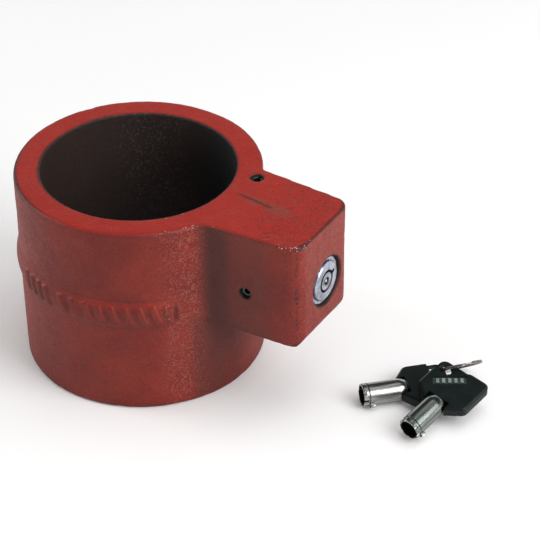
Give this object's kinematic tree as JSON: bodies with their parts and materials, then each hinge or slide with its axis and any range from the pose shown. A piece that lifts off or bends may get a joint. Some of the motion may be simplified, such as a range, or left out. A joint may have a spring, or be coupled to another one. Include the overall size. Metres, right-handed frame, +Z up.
{
  "type": "king pin lock",
  "caption": "Cast collar that closes over a trailer's king pin, with a keyed cam that drives a steel bolt into the pin's groove, and tubular keys on a split ring.",
  "frame": {"origin": "centre of the king pin bore at the collar's lower face", "axes": "+Z up the bore, +X from the bore axis along the lock boss, +Y to the far side of the boss"},
  "size_m": [0.1856, 0.0967, 0.08],
  "materials": {
    "red_paint": "satin, cast grain",
    "bolt_steel": "ground and hardened",
    "pin_steel": "blackened",
    "lock_nickel": "turned and nickel-plated",
    "brass": "turned",
    "spring_steel": "drawn wire",
    "key_nickel": "polished plating",
    "black_plastic": "moulded, semi-gloss"
  },
  "bodies": {
    "lock_body": {"cast_body": "red_paint", "bolt_stop_pin": "pin_steel", "lock_retaining_pin": "pin_steel", "lock_sleeve": "lock_nickel", "lock_shell": "lock_nickel", "pin_chamber": "brass", "chamber_dowel": "pin_steel", "pin_springs": "spring_steel"},
    "core": {"spindle": "lock_nickel", "anti_drill_ball": "bolt_steel", "tail_circlip": "pin_steel", "drive_cam": "bolt_steel", "cam_screw": "pin_steel"},
    "bolt": {"locking_bolt": "bolt_steel", "cam_follower_pin": "bolt_steel"},
    "key_pin_set": {"key_pins": "brass"},
    "driver_pin_set": {"driver_pins": "bolt_steel"},
    "ring": {"key_ring": "key_nickel"},
    "key_1": {"key_1_tube": "key_nickel", "key_1_head": "black_plastic"},
    "key_2": {"key_2_tube": "key_nickel", "key_2_head": "black_plastic"}
  },
  "joints": [
    {"name": "core_turn", "type": "hinge", "parent": "lock_body", "child": "core", "pos_m": [0.07, 0.002, 0.0545], "axis": [1, 0, 0], "range_deg": [0, 360]},
    {"name": "bolt_slide", "type": "slide", "parent": "lock_body", "child": "bolt", "axis": [-1, 0, 0], "range_m": [0, 0.009]},
    {"name": "key_pin_slide", "type": "slide", "parent": "core", "child": "key_pin_set", "axis": [1, 0, 0], "range_m": [0, 0.0012]},
    {"name": "driver_pin_slide", "type": "slide", "parent": "lock_body", "child": "driver_pin_set", "axis": [1, 0, 0], "range_m": [0, 0.0012]},
    {"name": "keys_lift", "type": "slide", "parent": "lock_body", "child": "ring", "axis": [0, 0, 1], "range_m": [0, 0.06]},
    {"name": "key_1_swing", "type": "hinge", "parent": "ring", "child": "key_1", "pos_m": [0.1117, 0.03209, 0.00379], "axis": [-0.0243, -0.0253, -0.9994], "range_deg": [0, 60]},
    {"name": "key_2_swing", "type": "hinge", "parent": "ring", "child": "key_2", "pos_m": [0.11904, 0.02653, 0.01096], "axis": [0.0949, -0.1553, 0.9833], "range_deg": [0, 25]}
  ],
  "couplings": [
    {"joint": "core_turn", "follows": "bolt_slide", "rad_per_m": 698.13},
    {"joint": "driver_pin_slide", "follows": "key_pin_slide", "ratio": 1}
  ]
}
